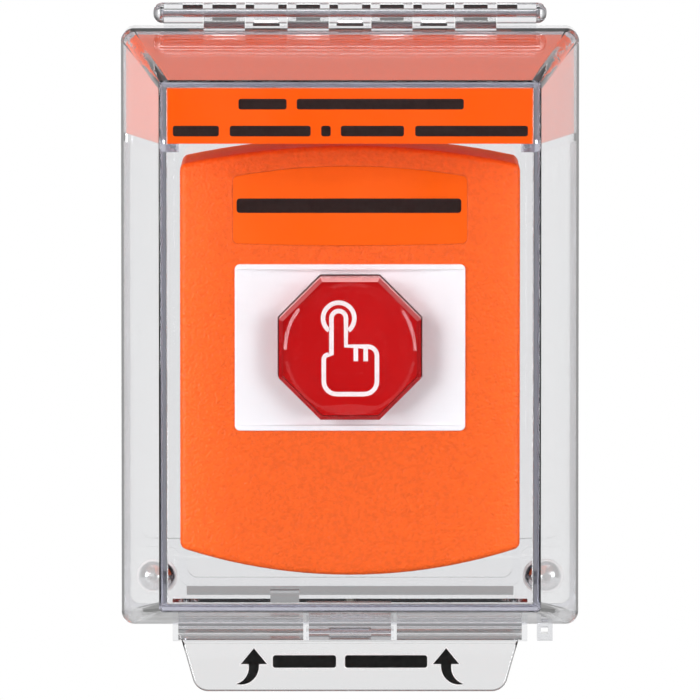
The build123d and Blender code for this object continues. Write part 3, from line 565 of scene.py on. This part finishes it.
def coil_spring(name, node, wire, turns):
    """Compression spring with closed ends."""
    low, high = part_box(node)
    radius = (high.x - low.x) / 2 - wire
    centre = (low + high) / 2
    length = high.y - low.y
    steps, sides = int(turns * 36), 12
    bm = bmesh.new()
    rings = []
    for i in range(steps + 1):
        share = i / steps
        turn = math.tau * turns * share
        rise = share - 0.75 * math.sin(math.tau * share) / math.tau
        along = high.y - wire - (length - 2 * wire) * rise
        ring = []
        for k in range(sides):
            around = math.tau * k / sides
            reach = radius + wire * math.cos(around)
            place = (centre.x + reach * math.cos(turn), along + wire * math.sin(around),
                     centre.z + reach * math.sin(turn))
            ring.append(bm.verts.new(place))
        rings.append(ring)
    for ring, following in zip(rings, rings[1:]):
        for k in range(sides):
            n = (k + 1) % sides
            bm.faces.new([ring[k], ring[n], following[n], following[k]])
    bm.faces.new(rings[0])
    bm.faces.new(rings[-1])
    bmesh.ops.recalc_face_normals(bm, faces=bm.faces)
    for face in bm.faces:
        face.smooth = len(face.verts) == 4
    piece = add_piece(name, bm, finishes[node], "base")
    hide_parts(node)
    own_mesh(piece)


coil_spring("return_coil", "return_spring", 0.55 * MM, 3.5)
coil_spring("contact_coil", "contact_spring", 0.22 * MM, 7.0)

# ---------------------------------------------------------------- stage, lights, camera


def aim(thing, target):
    direction = Vector(target) - thing.location
    thing.rotation_mode = "QUATERNION"
    thing.rotation_quaternion = direction.to_track_quat("-Z", "Y")


def softbox(name, place, target, size, power):
    data = bpy.data.lights.new(name, "AREA")
    data.shape = "RECTANGLE"
    data.size, data.size_y = size
    data.energy = power
    lamp = bpy.data.objects.new(name, data)
    lamp.location = place
    bpy.context.collection.objects.link(lamp)
    aim(lamp, target)


middle = (cad_low + cad_high) / 2
softbox("key_left", (-1.18, -1.08, 0.26), middle, (0.50, 0.80), 12.8)
softbox("fill_right", (1.16, -1.10, 0.22), middle, (0.45, 0.80), 9.6)
softbox("top_fill", (0.0, -0.35, 1.25), middle, (0.9, 0.5), 5.0)

FLOOR_DROP = 0.075
floor_mesh = bpy.data.meshes.new("floor")
bm = bmesh.new()
bmesh.ops.create_grid(bm, x_segments=1, y_segments=1, size=0.6)
bm.to_mesh(floor_mesh)
bm.free()
floor = bpy.data.objects.new("floor", floor_mesh)
floor.location = (0, 0, cad_low.z - FLOOR_DROP)
bpy.context.collection.objects.link(floor)
fs = Shader("pale_floor")
floor_shader = fs.principled(Specular_IOR_Level=0.1)
floor_shader.inputs["Roughness"].default_value = 0.8
floor_shader.inputs["Emission Color"].default_value = (1.0, 1.0, 1.0, 1.0)
floor_shader.inputs["Emission Strength"].default_value = 0.30
fs.link(fs.mix(fs.noise(3.0, 3.0), (0.70, 0.70, 0.70), (0.73, 0.73, 0.73)),
        floor_shader.inputs["Base Color"])
floor_mesh.materials.append(fs.material)

world = bpy.data.worlds.new("studio")
bpy.context.scene.world = world
world.use_nodes = True
wt = world.node_tree
wt.nodes.clear()


def world_curve(source, steps):
    """Grey level as a piecewise line through (input, level) steps."""
    low, high = steps[0][0], steps[-1][0]
    span = wt.nodes.new("ShaderNodeMapRange")
    span.inputs["From Min"].default_value = low
    span.inputs["From Max"].default_value = high
    wt.links.new(source, span.inputs["Value"])
    ramp = wt.nodes.new("ShaderNodeValToRGB")
    wt.links.new(span.outputs["Result"], ramp.inputs["Fac"])
    elements = ramp.color_ramp.elements
    while len(elements) < len(steps):
        elements.new(0.5)
    for element, (at, level) in zip(elements, steps):
        element.position = (at - low) / (high - low)
        element.color = (level, level, level, 1)
    return ramp.outputs["Color"]


# What rays other than the camera's own see: bright behind the object, dark to the sides and
# in front, and dimmer above. It gives the clear edges their dark lines. The camera sees white.
BEHIND = [(-1.0, 0.015), (0.0, 0.05), (0.5, 0.20), (0.85, 0.55), (0.93, 0.80), (0.98, 1.0), (1.0, 1.0)]
ABOVE = [(-1.0, 0.60), (-0.3, 1.0), (0.10, 1.0), (0.30, 0.75), (0.45, 0.50), (1.0, 0.40)]
w_place = wt.nodes.new("ShaderNodeTexCoord")
w_split = wt.nodes.new("ShaderNodeSeparateXYZ")
wt.links.new(w_place.outputs["Generated"], w_split.inputs["Vector"])
w_level = wt.nodes.new("ShaderNodeMix")
w_level.data_type = "RGBA"
w_level.blend_type = "MULTIPLY"
w_level.inputs["Factor"].default_value = 1.0
wt.links.new(world_curve(w_split.outputs["Y"], BEHIND), w_level.inputs["A"])
wt.links.new(world_curve(w_split.outputs["Z"], ABOVE), w_level.inputs["B"])
w_back = wt.nodes.new("ShaderNodeBackground")
wt.links.new(w_level.outputs["Result"], w_back.inputs["Color"])
w_white = wt.nodes.new("ShaderNodeBackground")
w_white.inputs["Color"].default_value = (1, 1, 1, 1)
w_path = wt.nodes.new("ShaderNodeLightPath")
w_mix = wt.nodes.new("ShaderNodeMixShader")
wt.links.new(w_path.outputs["Is Camera Ray"], w_mix.inputs["Fac"])
wt.links.new(w_back.outputs["Background"], w_mix.inputs[1])
wt.links.new(w_white.outputs["Background"], w_mix.inputs[2])
w_out = wt.nodes.new("ShaderNodeOutputWorld")
wt.links.new(w_mix.outputs["Shader"], w_out.inputs["Surface"])
world.cycles.sampling_method = "NONE"

CAMERA_DISTANCE = 3.0
CAMERA_ELEVATION = math.radians(4.5)
VIEW_WIDTH = 0.196
TARGET = Vector((0.0, -0.016, -0.0066))
camera_data = bpy.data.cameras.new("camera")
camera_data.sensor_width = 36.0
camera_data.lens = camera_data.sensor_width * CAMERA_DISTANCE / VIEW_WIDTH
camera_data.clip_start = 0.05
camera_data.clip_end = 100.0
camera = bpy.data.objects.new("camera", camera_data)
back = Vector((0.0, -math.cos(CAMERA_ELEVATION), math.sin(CAMERA_ELEVATION)))
camera.location = TARGET + back * CAMERA_DISTANCE
bpy.context.collection.objects.link(camera)
aim(camera, TARGET)
scene = bpy.context.scene
scene.camera = camera
scene.view_settings.view_transform = "Standard"
scene.cycles.max_bounces = 24
scene.cycles.transmission_bounces = 20
scene.cycles.transparent_max_bounces = 24
scene.cycles.glossy_bounces = 8
scene.cycles.diffuse_bounces = 5
